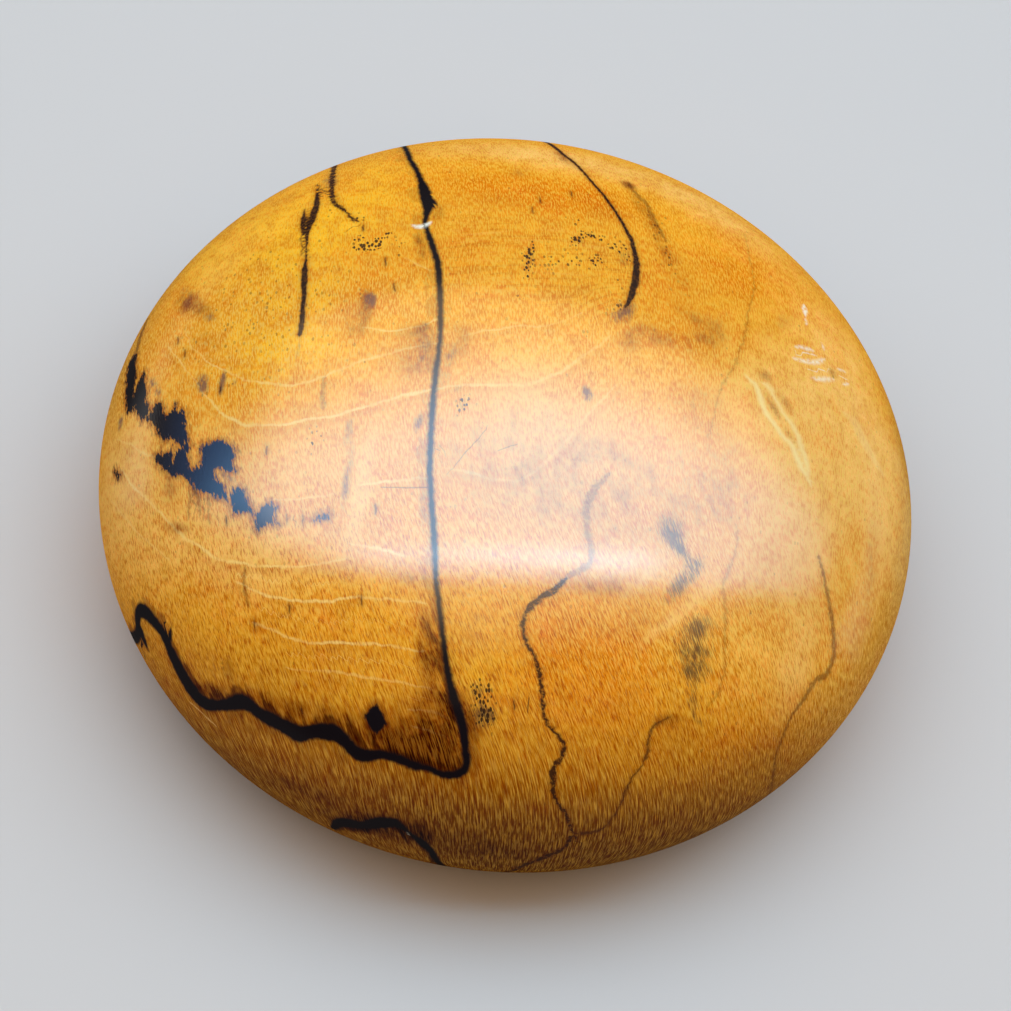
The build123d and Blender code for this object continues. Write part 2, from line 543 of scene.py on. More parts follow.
# Patches of black rot, as the corners of their outlines.
BLACK_ROT = [
    # the blade and the tongue at the left rim, and the broad spiked patch that follows
    [(-49.7, 1.6), (-49, -0.5), (-48.4, -2.5), (-47.9, -4.1), (-47.2, -5.6), (-46.6, -6.9), (-45.7, -7),
     (-45.4, -6.3), (-44.8, -7.3), (-44, -8.1), (-43.3, -9.1), (-43, -8.6), (-42.2, -9.3), (-41.1, -10),
     (-40.6, -10.8), (-40, -11.7), (-39.3, -12.3), (-38.4, -12.2), (-37.6, -12.7), (-36.9, -13.2),
     (-35.5, -13.8), (-36, -12.3), (-36.6, -10.8), (-37, -9.3), (-38.2, -8.8), (-38.6, -8), (-38.9, -9.3),
     (-39.4, -9.5), (-40.1, -8.7), (-40.6, -7.5), (-41.7, -7.2), (-42, -8.4), (-42.6, -7.6), (-43.3, -6.3),
     (-43.9, -4.6), (-44.5, -3), (-45.2, -1.4), (-45.7, -2.8), (-45.9, -4.7), (-46.5, -3), (-46.4, -1.8),
     (-47, -0.6), (-47.6, 1), (-48, 2.5), (-49, 2.9)],
    # the hooked patch below it
    [(-40.2, -14), (-39.7, -15), (-38.3, -16.1), (-37.2, -16.8), (-36, -17), (-34.9, -17.5), (-34, -18.5),
     (-32.9, -19.1), (-31.7, -19.5), (-30.6, -19.9), (-29.3, -20.2), (-29.8, -19.4), (-30.4, -18.4),
     (-31.2, -17.8), (-31.8, -17.1), (-31.6, -16.4), (-30.8, -16.7), (-29.7, -17.1), (-29.1, -16.9),
     (-29.8, -15.8), (-29.4, -15.1), (-29.9, -14.3), (-30.6, -13.8), (-32, -13.3), (-33.2, -13.6),
     (-34, -13.6), (-33.7, -14.8), (-33.4, -15.8), (-34, -16.4), (-34.8, -16.3), (-35.3, -15.4),
     (-35.6, -14.3), (-35.4, -13.6), (-36.3, -13.4), (-37, -14), (-37.4, -15.3), (-37.7, -14.2),
     (-38, -13.7), (-38.7, -14.1), (-39.3, -13.8)],
    # the two small ones at its tail
    [(-29.2, -19.2), (-28.5, -18.8), (-27.8, -19.1), (-27.3, -20.1), (-26.7, -20.8), (-26.1, -21.7),
     (-27.5, -21.5), (-28.6, -21.7), (-28.7, -20.8), (-29, -20.2)],
    [(-25.2, -20.8), (-24.4, -20.5), (-23.7, -20.8), (-23.7, -21.8), (-23.2, -22.9), (-24.3, -22.6),
     (-25.2, -23.6), (-25.7, -23.3), (-25.8, -22.3), (-26.2, -21.6), (-25.3, -21.6)],
    [(-19.4, -21.9), (-18.8, -21.4), (-17.8, -21.2), (-17.6, -21.6), (-18.6, -22)],
    [(-47.8, -13.6), (-47.4, -13.9), (-46.9, -14.4), (-45.9, -15), (-45.8, -15.4), (-46.8, -15.3),
     (-47.4, -14.8)],
    # the diamond above the front corner
    [(-9.4, -40), (-10.5, -41.5), (-9.8, -42.5), (-8.9, -43.3), (-7.8, -42), (-8.5, -40.8)],
    [(46.6, 28), (49, 25.5), (51.5, 22), (54.5, 15), (53.5, 20), (53.6, 23.5), (50.6, 25), (48, 27.4)],
]
# Pale growth rings, hairline checks and white scuffs: (strength, [(u, v, half width), ...]).
RING_LINES = [
    (0.9, [(-18.5, 0.7, 0.1), (-15, 0.5, 0.16), (-12.5, 1.6, 0.16), (-10.8, 2.7, 0.12)]),
    (0.7, [(-7.8, 1, 0.1), (-6, 1.8, 0.15), (-3, 3.2, 0.15), (1, 4.2, 0.15), (4, 7, 0.1)]),
    (0.8, [(-10.3, -0.5, 0.12), (-12.5, -1.2, 0.16), (-17.5, -3.5, 0.2), (-22, -6, 0.18), (-25, -7, 0.2),
        (-30, -6.2, 0.16), (-35, -3.5, 0.1), (-38.3, -0.4, 0.06), (-40, 2.4, 0.02)]),
    (1, [(-42.2, 1, 0.02), (-40.4, -1, 0.04), (-37.9, -3.8, 0.06), (-35.1, -7, 0.08), (-32.4, -9.8, 0.12),
        (-29.6, -11.6, 0.2), (-25, -11.7, 0.2), (-19, -10.3, 0.2), (-12.5, -7.3, 0.2), (-8, -5.5, 0.2),
        (-3.5, -4.5, 0.2), (0, -3.7, 0.2), (3, -1.2, 0.2), (5.5, 2.2, 0.2), (7.3, 5, 0.1)]),
    (0.7, [(-48, -9.8, 0.1), (-45, -11.5, 0.18), (-42, -13.3, 0.16), (-40, -14.4, 0.1)]),
    (0.9, [(-46, -14.4, 0.1), (-43.1, -17.1, 0.18), (-38.3, -20.9, 0.2), (-34.1, -24.2, 0.2),
        (-29.3, -26.8, 0.2), (-23.9, -27.4, 0.18), (-18.2, -26.8, 0.14), (-15, -25.8, 0.1)]),
    (0.5, [(-36, -26.6, 0.1), (-42, -22.5, 0.18), (-48, -17.5, 0.1)]),
    (0.45, [(-5.8, -40.1, 0.1), (-3, -39.9, 0.16), (-0.8, -40.3, 0.1)]),
    (0.45, [(-1, -42.2, 0.1), (-3, -41.9, 0.16), (-5.2, -41.6, 0.1)]),
    (0.6, [(-24.5, -20.2, 0.1), (-20, -19.7, 0.16), (-17.5, -19.2, 0.12)]),
    (0.9, [(-15.2, -17.9, 0.12), (-12, -17.2, 0.2), (-8.5, -16.3, 0.16)]),
    (1, [(-6.6, -14.9, 0.1), (-4.3, -14.8, 0.2), (-1.5, -15.2, 0.2), (0.8, -14.9, 0.2), (3, -12.5, 0.2),
        (4.6, -9.8, 0.18), (6, -6.7, 0.16), (7.4, -3.8, 0.15), (8.8, -1.2, 0.1)]),
    (0.9, [(-15, -24.2, 0.1), (-12, -24.3, 0.2), (-9, -24.8, 0.15)]),
    (0.8, [(-27, -29, 0.1), (-23, -30.3, 0.16), (-19, -30.7, 0.18), (-16, -30.3, 0.2), (-13, -29.6, 0.16),
        (-9, -29.3, 0.16), (-6, -29.2, 0.1)]),
    (0.8, [(-24.5, -33.2, 0.1), (-21, -34.2, 0.15), (-17.5, -34.8, 0.16), (-14, -34.5, 0.2), (-10, -34, 0.16),
        (-5.2, -34, 0.1)]),
    (0.35, [(-20, -37.7, 0.1), (-12, -37.4, 0.2), (-3.5, -37.5, 0.1)]),
    (0.6, [(-34.5, -42.7, 0.12), (-32, -44.2, 0.2), (-30, -45.8, 0.1)]),
    (0.4, [(5.2, -19, 0.1), (6.2, -17.5, 0.2), (7, -16.2, 0.1)]),
    (0.4, [(13.3, -1, 0.1), (14.3, 0.6, 0.2), (15.2, 2, 0.1)]),
    (0.5, [(-16, 11, 0.1), (-12.8, 9.3, 0.12)]),
]
HAIRLINES = [
    (0.9, [(-9.2, -10.2, 0.05), (-8.8, -11.7, 0.1), (-8.4, -13.4, 0.1), (-8.4, -14.2, 0.05)]),
    (1, [(-8.7, -15, 0.06), (-8.3, -15.8, 0.12), (-7.8, -17.1, 0.12)]),
    (0.6, [(-7.9, -17.2, 0.06), (-10, -17.6, 0.07), (-13, -17.9, 0.05)]),
    (0.5, [(-6, -14.8, 0.04), (-5.2, -13, 0.07), (-4, -11, 0.07), (-3.2, -9.2, 0.04)]),
    (0.5, [(-1.9, -12, 0.05), (-1, -11.4, 0.08), (0, -10.8, 0.05)]),
    (0.4, [(-7.9, -12.5, 0.04), (-7.2, -12.9, 0.08), (-6.9, -13.7, 0.05)]),
    (0.3, [(-4, -9.1, 0.04), (-3.5, -9.6, 0.06), (-3, -9.3, 0.04)]),
    (0.35, [(-6.6, -15.8, 0.04), (-5.8, -14.2, 0.05)]),
]
SCUFFS = [
    (1, [(-16.2, 16.5, 0.06), (-15.6, 16.2, 0.3), (-15, 16.1, 0.42), (-14.6, 16.5, 0.34),
        (-14.2, 17.2, 0.1)]),
    (0.8, [(29.2, 21.9, 0.15), (29.2, 21.3, 0.42), (29.4, 20.5, 0.36), (29.3, 19.8, 0.1)]),
    (0.6, [(29.4, 19.4, 0.1), (29.4, 18.9, 0.22), (29.5, 18.2, 0.1)]),
    (0.65, [(31.8, 16.7, 0.1), (31.9, 16.2, 0.26), (32.1, 15.7, 0.1)]),
    (0.6, [(28.1, 13.3, 0.1), (29, 13.9, 0.3), (30.5, 14.4, 0.2)]),
    (0.6, [(28, 11.4, 0.1), (29.6, 11.9, 0.3), (31.2, 12.9, 0.3), (32.2, 14.2, 0.2)]),
    (0.7, [(34.2, 14.1, 0.1), (34.8, 14.4, 0.18), (35.4, 14.6, 0.08)]),
    (0.7, [(35.1, 12.2, 0.1), (35.5, 12.6, 0.22), (35.9, 13, 0.1)]),
    (0.5, [(30.6, 9.9, 0.15), (32, 10.7, 0.35), (33.6, 11.9, 0.2)]),
    (1, [(-3.65, -54.9, 0.12), (-3.5, -55.1, 0.12)]),
]
# A fold in the grain, shaped like a loop: painted highlights along its two edges, and a faint painted
# highlight beside it.
FOLD_HIGHLIGHTS = [
    (0.9, [(22.6, 5.8, 0.05), (23.8, 5, 0.22), (24.4, 3.7, 0.32), (25.2, 2.1, 0.26), (26.6, 1.2, 0.3),
        (27.9, 0.1, 0.14), (29.2, -0.5, 0.2), (30.2, -1.8, 0.32), (30.9, -2.9, 0.28), (32.2, -4.2, 0.05)]),
    (0.75, [(31.9, -3.2, 0.1), (31, -1.5, 0.36), (30.3, 0.2, 0.3), (29.5, 1.6, 0.3), (28.7, 2.3, 0.3),
        (27.6, 2.7, 0.18), (26.7, 3.9, 0.18), (26, 5, 0.2), (25.3, 5.6, 0.26), (24.7, 5.6, 0.1)]),
    (0.22, [(35.6, 8, 0.4), (37.4, 7.6, 0.8), (38.6, 6, 0.7), (40.6, 4.9, 0.6), (42.6, 3.8, 0.3)]),
]
# The flat base, on its own plan in millimetres, where the same lines come through.
BASE_BLACK_LINES = [
    [(-14, 36, 0.4), (-15.5, 26, 0.4), (-14, 15, 0.5), (-19, 6, 0.45), (-23, -4, 0.6), (-28, -10, 0.6),
     (-33.5, -16, 0.5)],
]
BASE_VEINS = [
    [(-7.5, 37, 0.3), (-3, 22, 0.3), (2.5, 11, 0.35), (1, -4, 0.25), (6, -17, 0.3), (3.5, -28, 0.35),
     (4.4, -37, 0.3)],
    [(34, 14, 0.3), (24, 10, 0.25), (20, 1, 0.3), (10, -6, 0.25), (3, -9, 0.15)],
]
BASE_ROT = [
    [(-26.4, 6), (-25.2, 8.6), (-21, 10.6), (-20.4, 9), (-23.4, 6.8)],
    [(11.8, 20.4), (13.6, 17.6), (15.4, 13.8), (13, 15.4), (12, 17.4)],
]

# Soft patches, broad or small: (u, v, radius, radius, turn in degrees, strength). The first
# radius lies along +u before the turn.
BROWN = [
    (10, 24, 0.9, 5, 20, 0.4), (13.5, 17, 2.4, 5, 25, 0.35), (18, 9, 2, 4, -20, 0.45),
    (12.5, 6.5, 4, 1.6, 10, 0.45), (15, 11, 3, 1.4, -30, 0.35), (18, 0, 4, 4, 0, 0.3),
    (22, -8, 4, 6, 0, 0.25), (26, 16, 1.4, 5, -30, 0.35), (43, -8, 1.6, 7, 10, 0.4),
    (-36, 0, 3, 1.4, -35, 0.4), (-6, 29, 3, 2, 0, 0.35), (-40, 6.5, 3.6, 1.4, -35, 0.45),
    (6, -13, 20, 9, 0, 0.5), (12, -23.5, 4, 1.2, 12, 0.5), (-9, -55.2, 6, 2, 8, 1.5),
    (-2, -55.8, 2, 1.6, -30, 0.8), (-26, -41.5, 8, 1.5, 0, 0.8), (-38, -33, 2.4, 1, -40, 0.5),
    (-3, -41.5, 4.6, 3, 0, 1.5), (0, -42.6, 1.6, 2.4, 10, 1.2), (-7, -44, 6, 1.2, 0, 1.3),
    (-4.8, -33.6, 1.3, 3.6, 15, 1.4), (-1, -39.5, 1.5, 1.5, 0, 0.5), (-1.2, -38.6, 1.4, 2.4, 30, 0.8),
    (-2.5, -45, 3.5, 0.8, 0, 0.9), (-16, -42.4, 6, 1.2, 3, 0.9), (-24, -44.5, 7, 1.6, 0, 0.5),
    (-27.2, -38.3, 0.8, 1.6, 8, 0.7), (-33, -39.4, 2.4, 1.2, -40, 0.6), (-30, -41, 2.5, 0.9, 0, 0.5),
    (-12, -2.8, 2.4, 2.4, 20, 0.6), (-12.5, 1, 2.4, 1.2, 20, 0.6), (-8, 0.5, 1.4, 2.8, 0, 0.45),
    (-18.6, 4, 0.6, 1.7, 12, 1.1), (-18.9, 1, 1, 1.6, 0, 0.6), (-20.3, 2.5, 2.2, 4, 0, 0.35),
    (-41.5, 8, 1.4, 3, 30, 0.55), (-38, 4.6, 2.4, 1.2, -38, 0.5), (33.5, 12.9, 0.9, 1, 0, 0.6),
    # Painted shade: the next four patches, from (26, 3.4) to (27.4, 4.6), darken the inside of the fold,
    # between its bright edges.
    (26, 3.4, 1.7, 0.45, -47, 0.9), (28.9, 0.4, 1.2, 0.35, -40, 0.7), (24.6, 6.9, 0.9, 0.8, 0, 0.7),
    (27.4, 4.6, 2.2, 0.8, -40, 0.5), (9.3, 4.5, 1.5, 2, 0, 0.35), (10.5, 7.5, 2.4, 1.5, 0, 0.15),
    (-17, -52, 8, 1.6, -5, 0.7), (6, -55, 9, 2.2, 3, 0.75), (-6, -54.2, 4, 1.4, 5, 0.9),
    (24, -36, 5, 3, 30, 0.35), (22, -34.6, 1.6, 0.6, 20, 0.6), (-37, -18.6, 1.6, 2.6, 20, 0.5),
    (-35.5, -23, 2.4, 0.7, -8, 0.7), (-14.6, 12.6, 0.6, 2.6, 15, 0.9), (-13.6, 18.6, 0.7, 2, 0, 0.7),
    (8.3, 26.8, 0.9, 5, 25, 0.5), (6.6, 31.6, 0.8, 1.1, 20, 0.9), (-1.4, 35.4, 1.2, 3, 30, 0.7),
    (-8, 22.5, 4, 2, 0, 0.3), (4, 24, 3, 2, 0, 0.3), (16, -26, 2, 3, -40, 0.3),
    (-24, -33.4, 1.5, 0.7, -30, 0.45), (-45, -12.6, 1.4, 1.2, -40, 0.4), (-28.6, 19, 0.8, 3.4, 3, 0.5),
    (-26.5, 23, 0.7, 3, 30, 0.5), (48, 14, 4, 8, 20, 0.4), (20, 60, 8, 4, 0, 0.5), (-50, 40, 6, 8, 30, 0.4),
    (58, -25, 4, 9, 20, 0.4),
]
VIOLET = [
    (8.6, 8.9, 0.8, 1.6, -25, 0.8), (7.7, 7.4, 1.4, 1.1, 0, 0.5), (-18.5, 4.7, 0.6, 1.1, 15, 1.3),
    (-42, 9, 1, 3.2, 25, 0.45), (-35.5, -5.8, 0.8, 1.4, 35, 1), (-33, -6.2, 0.45, 1.5, 5, 1),
    (-31.5, -6.4, 0.3, 0.8, 10, 0.7), (-43, -4, 0.5, 1, 30, 0.8), (-41.6, -5.8, 0.5, 1.5, 25, 0.75),
    (-47.8, -7.8, 0.6, 1.3, 20, 0.85), (-16.6, -17.5, 0.6, 4, 3, 0.6), (-17.5, -12, 0.6, 2, 0, 0.5),
    (-10.4, -10.3, 0.6, 1.3, 0, 0.7), (6, -3.2, 0.6, 1, 15, 1), (-28, 27.5, 1.3, 4, 15, 0.5),
    (-8.8, -2, 0.9, 4, 0, 0.45), (-11.6, -1.5, 0.9, 3, 0, 0.5), (-8, -27, 3, 0.9, -5, 0.5),
    (6.4, -24, 1.2, 1.6, -35, 0.5), (-29.8, -17.6, 1.2, 0.5, -30, 0.8), (-28.1, -20.6, 0.5, 0.5, 0, 0.5),
    (-22.3, -22.1, 0.7, 0.25, 0, 0.6), (-49, 2.6, 0.7, 1.2, 0, 0.7), (-8.2, -19.5, 0.6, 3, 12, 0.45),
    (-33.6, -19.4, 0.6, 1.2, 20, 0.7), (-24.9, -3, 0.4, 3, 0, 0.4), (-37, 3.6, 1.6, 0.7, -30, 0.5),
]
GREY = [
    (17.5, -15.7, 1.6, 1.9, 30, 0.95), (18.9, -17.4, 1.7, 0.6, -40, 0.8), (20.8, -18.9, 0.9, 1.7, -25, 0.9),
    (19.3, -21.5, 0.8, 2, -25, 1), (22.6, -24.4, 1.9, 1.2, 30, 0.9), (22.9, -27, 2.2, 1.5, 10, 0.9),
    (23.6, -29.2, 1.8, 1.5, 10, 0.8), (24.2, -31.8, 0.7, 1.3, 20, 0.5), (24.9, -33, 0.45, 1.1, 25, 0.4),
    (25.9, -33.8, 0.9, 0.4, -20, 0.6), (2.4, -39.2, 1.2, 1.3, 20, 0.95), (1, -36.8, 0.8, 0.7, 0, 0.7),
    (1.8, -37.5, 2.2, 2.6, 0, 0.22), (-6.4, -7.4, 0.6, 1, 0, 0.45), (-7.2, -5.6, 0.5, 0.5, 0, 0.5),
    (-2.8, 13.4, 0.6, 2.4, 0, 0.55), (1.9, 17.9, 0.9, 0.8, 0, 0.6), (3.1, 19.2, 0.7, 0.6, 0, 0.5),
    (7.2, 17, 0.9, 2, 10, 0.5), (-60, 10, 2, 3, 0, 0.8), (30, 55, 2, 4, 30, 0.7),
]
SPECKLE = [
    (10, 25, 1, 5, 20, 0.3), (12.5, 18, 1, 3, 25, 0.3), (7.6, 9.2, 0.9, 1.2, 0, 0.4),
    (-21.9, 13.8, 0.5, 0.45, 0, 1.2), (-20.9, 13.4, 0.4, 0.9, 20, 1.2), (-21.2, 12.5, 0.5, 0.4, 0, 1.2),
    (-20.1, 12.7, 1.3, 0.6, 10, 1.6), (-19.3, 13.7, 0.5, 0.8, 0, 1.3), (-18.6, 14.6, 0.6, 0.35, 40, 1.1),
    (-17, 12.5, 0.4, 1.5, 10, 0.6), (-28, 19, 1.6, 2, 0, 0.3), (-22.5, 17.6, 1.2, 0.7, -30, 0.5),
    (-2.9, 14, 0.5, 1.8, 0, 1.3), (-2.7, 11.5, 0.4, 1, 0, 1), (-2.4, 10, 0.3, 0.5, 0, 0.8),
    (1.8, 17.8, 0.9, 0.8, 30, 1.4), (3, 19.2, 0.8, 0.6, 0, 1.2), (1.3, 21, 0.9, 0.6, 0, 0.7),
    (4.3, 19, 0.5, 0.6, 0, 0.7), (5.6, 18.2, 0.6, 0.4, 0, 0.6), (7, 17.3, 0.9, 1.8, 15, 0.9),
    (4.3, 14.8, 0.8, 1.1, 0, 0.8), (1, 14, 3.5, 1.6, 10, 0.4), (7.2, 12.5, 0.6, 0.8, 0, 0.5),
    (-2.8, 7.4, 0.3, 0.3, 0, 0.9), (1.3, -36.6, 1.2, 1, 0, 0.9), (2.4, -38.9, 1.2, 1.3, 0, 1.3),
    (-20.8, -13.5, 1, 1.4, 0, 0.5), (-6.3, -7.4, 0.8, 1.3, 0, 0.6), (-29, 4, 9, 11, 0, 0.16),
    (0, 60, 30, 12, 0, 0.3), (-60, 10, 3, 12, 0, 0.5),
]
GOLD = [
    (-30, 12, 9, 14, 15, 0.6), (-24, 18, 6, 7, 0, 0.3), (-26, -2, 7, 5, 20, 0.5), (-22, 27, 4, 7, 15, 0.3),
    (-40, 18, 6, 8, 20, 0.5), (1, 14, 5, 2.5, 15, 0.3), (0, 0, 5, 3, 25, 0.6), (22.4, 4.8, 2, 1.2, 0, 0.3),
    (-15, -38.5, 10, 3, 0, 0.3), (2, -35.5, 3, 2, 0, 0.4), (22, -31, 5, 3, -20, 0.4),
    (31, 7, 5, 3, 20, 0.4), (60, 40, 20, 14, 0, 0.4), (-55, 55, 14, 14, 0, 0.5),
]
ORANGE = [
    (-6, 25, 11, 4, 0, 1), (4, 26, 5, 4, 0, 0.7), (24, 26, 12, 6, -30, 0.6), (20, 19, 4, 4, 0, 0.8),
    (12, -32, 9, 8, 0, 1), (-5, -50, 24, 5, 0, 0.7), (-36, -22, 9, 4, -35, 0.6), (-28, -29, 6, 3, -20, 0.5),
    (-44, 4, 5, 8, 20, 0.4), (-19, 6, 3, 5, 0, 0.6), (34, -34, 12, 6, 30, 0.7), (13, 13, 4, 8, 0, 0.4),
    (15, 6, 3, 4, 0, 0.35), (0, 62, 30, 10, 0, 0.5), (-9, 14, 3, 5, 0, 0.5), (-15, -35, 10, 6, 0, 0.4),
]
# Pale tan streaks and patches of the wood, and painted sheen: the broad patches out towards the left and
# right sides stand in for the soft reflection of the light there.
PALE_AND_SHEEN = [
    (-26, -26, 9, 4.5, -10, 0.8), (-38, -24, 7, 6, 0, 0.4), (36, -24, 3, 6, 0, 0.6),
    (6, -12, 12, 9, 0, 0.6), (32, -9, 8, 12, 10, 0.6), (38, 4, 9, 9, 0, 0.8), (-3, 35, 16, 4, 0, 0.8),
    (-22, -16, 11, 6, 10, 0.4), (-33, -15, 5, 5, 0, 0.35), (27, -24, 7, 7, 0, 0.3),
    (-14.9, -19, 1, 5.5, 0, 1), (20.3, -23.7, 0.7, 5, -37, 1), (15.7, -21.5, 0.6, 4.5, -36, 0.8),
    (-46, -16, 6, 7, 20, 0.5), (50, 0, 7, 10, 0, 0.7), (30, 4, 11, 12, 0, 0.55), (-46, -14, 8, 12, 0, 0.4),
    (18, 33, 10, 5, -20, 0.6), (34, 18, 6, 8, 20, 0.5), (-38, 15, 6, 10, 0, 0.3), (24, 4, 5, 4, 0, 0.3),
    (0, -7, 6, 8, 0, 0.5), (45, 2, 6, 9, 0, 0.3),
]


# ---- laying the marks on the body ---------------------------------------------------
FAR = 9.0                   # distances are kept no further than this, in millimetres


def rounded(path, step=0.15, softness=0.4):
    """Close-set points along a path with its corners eased: u, v, half width."""
    path = np.array(path, float)
    gaps = np.hypot(*np.diff(path[:, :2], axis=0).T)
    walked = np.concatenate([[0], np.cumsum(gaps)])
    even = np.linspace(0, walked[-1], max(int(walked[-1] / step), 5))
    fine = np.stack([np.interp(even, walked, column) for column in path.T], axis=1)
    reach = int(3 * softness / step)
    weights = np.exp(-0.5 * (np.arange(-reach, reach + 1) * step / softness) ** 2)
    padded = np.pad(fine, ((reach, reach), (0, 0)), mode="reflect", reflect_type="odd")
    eased = [np.convolve(column, weights / weights.sum(), "valid") for column in padded.T]
    return np.stack(eased, axis=1)


def measure_lines(places, lines, reach):
    """For each place: signed distance to the nearest line, its half width there, its strength.

    Past the end of a line the half width shrinks below nothing, which ends the line, and
    further away than `reach` outside its edge the strength fades out.
    """
    rows = []
    for strength, path in lines:
        fine = rounded(path)
        run = np.gradient(fine[:, :2], axis=0)
        run /= np.hypot(*run.T)[:, None]
        ends = np.zeros(len(fine))
        ends[0], ends[-1] = -1, 1
        rows.append(np.column_stack([fine, run, ends, np.full(len(fine), strength)]))
    rows = np.concatenate(rows)
    tree = KDTree(len(rows))
    for index, (u, v) in enumerate(rows[:, :2]):
        tree.insert((u, v, 0), index)
    tree.balance()
    nearest = np.array([tree.find((u, v, 0))[1] for u, v in places])
    u, v, half_width, run_u, run_v, end, ink = rows[nearest].T
    apart_u, apart_v = places[:, 0] - u, places[:, 1] - v
    distance = np.hypot(apart_u, apart_v)
    side = run_u * apart_v - run_v * apart_u
    ahead = run_u * apart_u + run_v * apart_v
    beyond = np.maximum(end * ahead, 0)
    signed = np.where(beyond > 0, side, np.copysign(distance, side))
    width = half_width - beyond
    fade = np.clip((width + 2 * reach - distance) / reach, 0, 1)
    return np.column_stack([np.clip(signed, -FAR, FAR), np.clip(width, -FAR, FAR), ink * fade])


def measure_patches(places, outlines):
    """For each place: how far it lies outside the nearest patch, less than nothing inside."""
    nearest = np.full(len(places), FAR)
    for outline in outlines:
        corners = np.array(outline, float)
        gap = np.full(len(places), FAR)
        inside = np.zeros(len(places), bool)
        for start, end in zip(corners, np.roll(corners, -1, axis=0)):
            run = end - start
            apart = places - start
            along = np.clip(apart @ run / (run @ run), 0, 1)
            gap = np.minimum(gap, np.hypot(*(apart - along[:, None] * run).T))
            spans = (start[1] > places[:, 1]) != (end[1] > places[:, 1])
            crossing = start[0] + apart[:, 1] * run[0] / (run[1] or 1)
            inside ^= spans & (places[:, 0] < crossing)
        nearest = np.minimum(nearest, np.where(inside, -gap, gap))
    return nearest


def measure_stains(places, stains):
    """For each place: the strength there of a list of soft round patches."""
    total = np.zeros(len(places))
    for u, v, long, wide, turn, strength in stains:
        angle = radians(turn)
        across, along = places[:, 0] - u, places[:, 1] - v
        lengthways = across * cos(angle) + along * sin(angle)
        sideways = along * cos(angle) - across * sin(angle)
        total += strength * np.exp(-((lengthways / long) ** 2) - (sideways / wide) ** 2)
    return total


def keep(mesh, name, columns):
    """Stores three numbers for every point of the body, for its wood to read."""
    layer = mesh.attributes.new(name, "FLOAT_VECTOR", "POINT")
    layer.data.foreach_set("vector", np.ascontiguousarray(columns, dtype=np.float32).ravel())


def beside(paths):
    """Moves marks drawn on the plan of the base to its place beside the chart."""
    return [[(u + BASE_OFFSET, *rest) for u, *rest in path] for path in paths]


def dashes():
    """Each short dark dash as a tiny vein that leans with the grain."""
    lean, reach, tip = 0.14, 0.6, 0.04
    return [
        (1.0, [(u - lean, v + reach, tip), (u, v, width), (u + lean, v - reach, tip)])
        for u, v, width in DASHES
    ]


def lay_marks(mesh):
    """Measures every mark at every point of the body."""
    points = points_of(mesh)
    places = np.where(is_flat(points)[:, None], plan_of(points), chart_of(points))
    base_black = list(zip([1.0], beside(BASE_BLACK_LINES)))
    base_veins = list(zip([0.9, 0.6], beside(BASE_VEINS)))
    lines = {
        "zone_line": (ZONE_LINES + base_black, 2.5),
        "vein": (VEINS + dashes() + base_veins, 1.5),
        "ring_line": (RING_LINES, 1.5),
        "hairline": (HAIRLINES, 0.5),
        "fold_highlight": (FOLD_HIGHLIGHTS, 1.5),
        "scuff": (SCUFFS, 0.7),
    }
    for name, (paths, reach) in lines.items():
        keep(mesh, name, measure_lines(places, paths, reach))
    for name, kinds in (("stain", (BROWN, VIOLET, GREY)), ("tone", (GOLD, ORANGE, PALE_AND_SHEEN))):
        keep(mesh, name, np.column_stack([measure_stains(places, spots) for spots in kinds]))
    rot = measure_patches(places, BLACK_ROT + beside(BASE_ROT))
    speckle = measure_stains(places, SPECKLE)
    keep(mesh, "rot", np.column_stack([rot, speckle, np.hypot(*places.T)]))


# ---- the wood ------------------------------------------------------------------------
def measures(name):
    """The three numbers that the body keeps under a name."""
    return Field.make("ShaderNodeAttribute", {}, output="Vector", attribute_name=name).parts()


def line_of(name, wobble, softness, thickness=1.0):
    """How much ink a kind of line has here, from the distances kept on the body."""
    side, half_width, ink = measures(name)
    distance = (side + wobble).size()
    inside = (half_width * thickness - distance) / softness
    return inside.ramp(-1.0, 1.0) * ink


def along_the_grain(u, v):
    """Places measured across the rays and, shortened to about a sixth, along them.

    The rays lean left of +v, lean further below the middle of the dome, and are steeper
    and longer again by the front rim.
    """
    lower = Field.maths("SMOOTH_MAX", Field.maths("SMOOTH_MIN", v + 12, 0.0, 10.0), -34.0, 8.0)
    across = u + v * 0.2 + lower * (u * 0.006 + 0.34)
    along = Field.maths("SMOOTH_MAX", v, -40.0, 6.0) * 0.09 + v * 0.07
    return Field.make("ShaderNodeCombineXYZ", {0: across, 1: along})


def across_the_rings(u, v):
    """Places measured along the growth rings, much shortened, and across them.

    The rings hang in bowls: they fall towards u = -25, rise gently as far as the middle
    and steeply to the right of it, except near the top edge, where they run level.
    """
    left = (u + 25) * -0.55
    middle = (u + 25) * 0.28
    right = (u - 3).or_more(0.0) * 1.4 * v.ramp(6, 16, 1.0, 0.0)
    bowl = Field.maths("SMOOTH_MAX", left, middle, 5.0) + right
    return Field.make("ShaderNodeCombineXYZ", {0: (u + v * 0.3) * 0.1, 1: v - bowl})


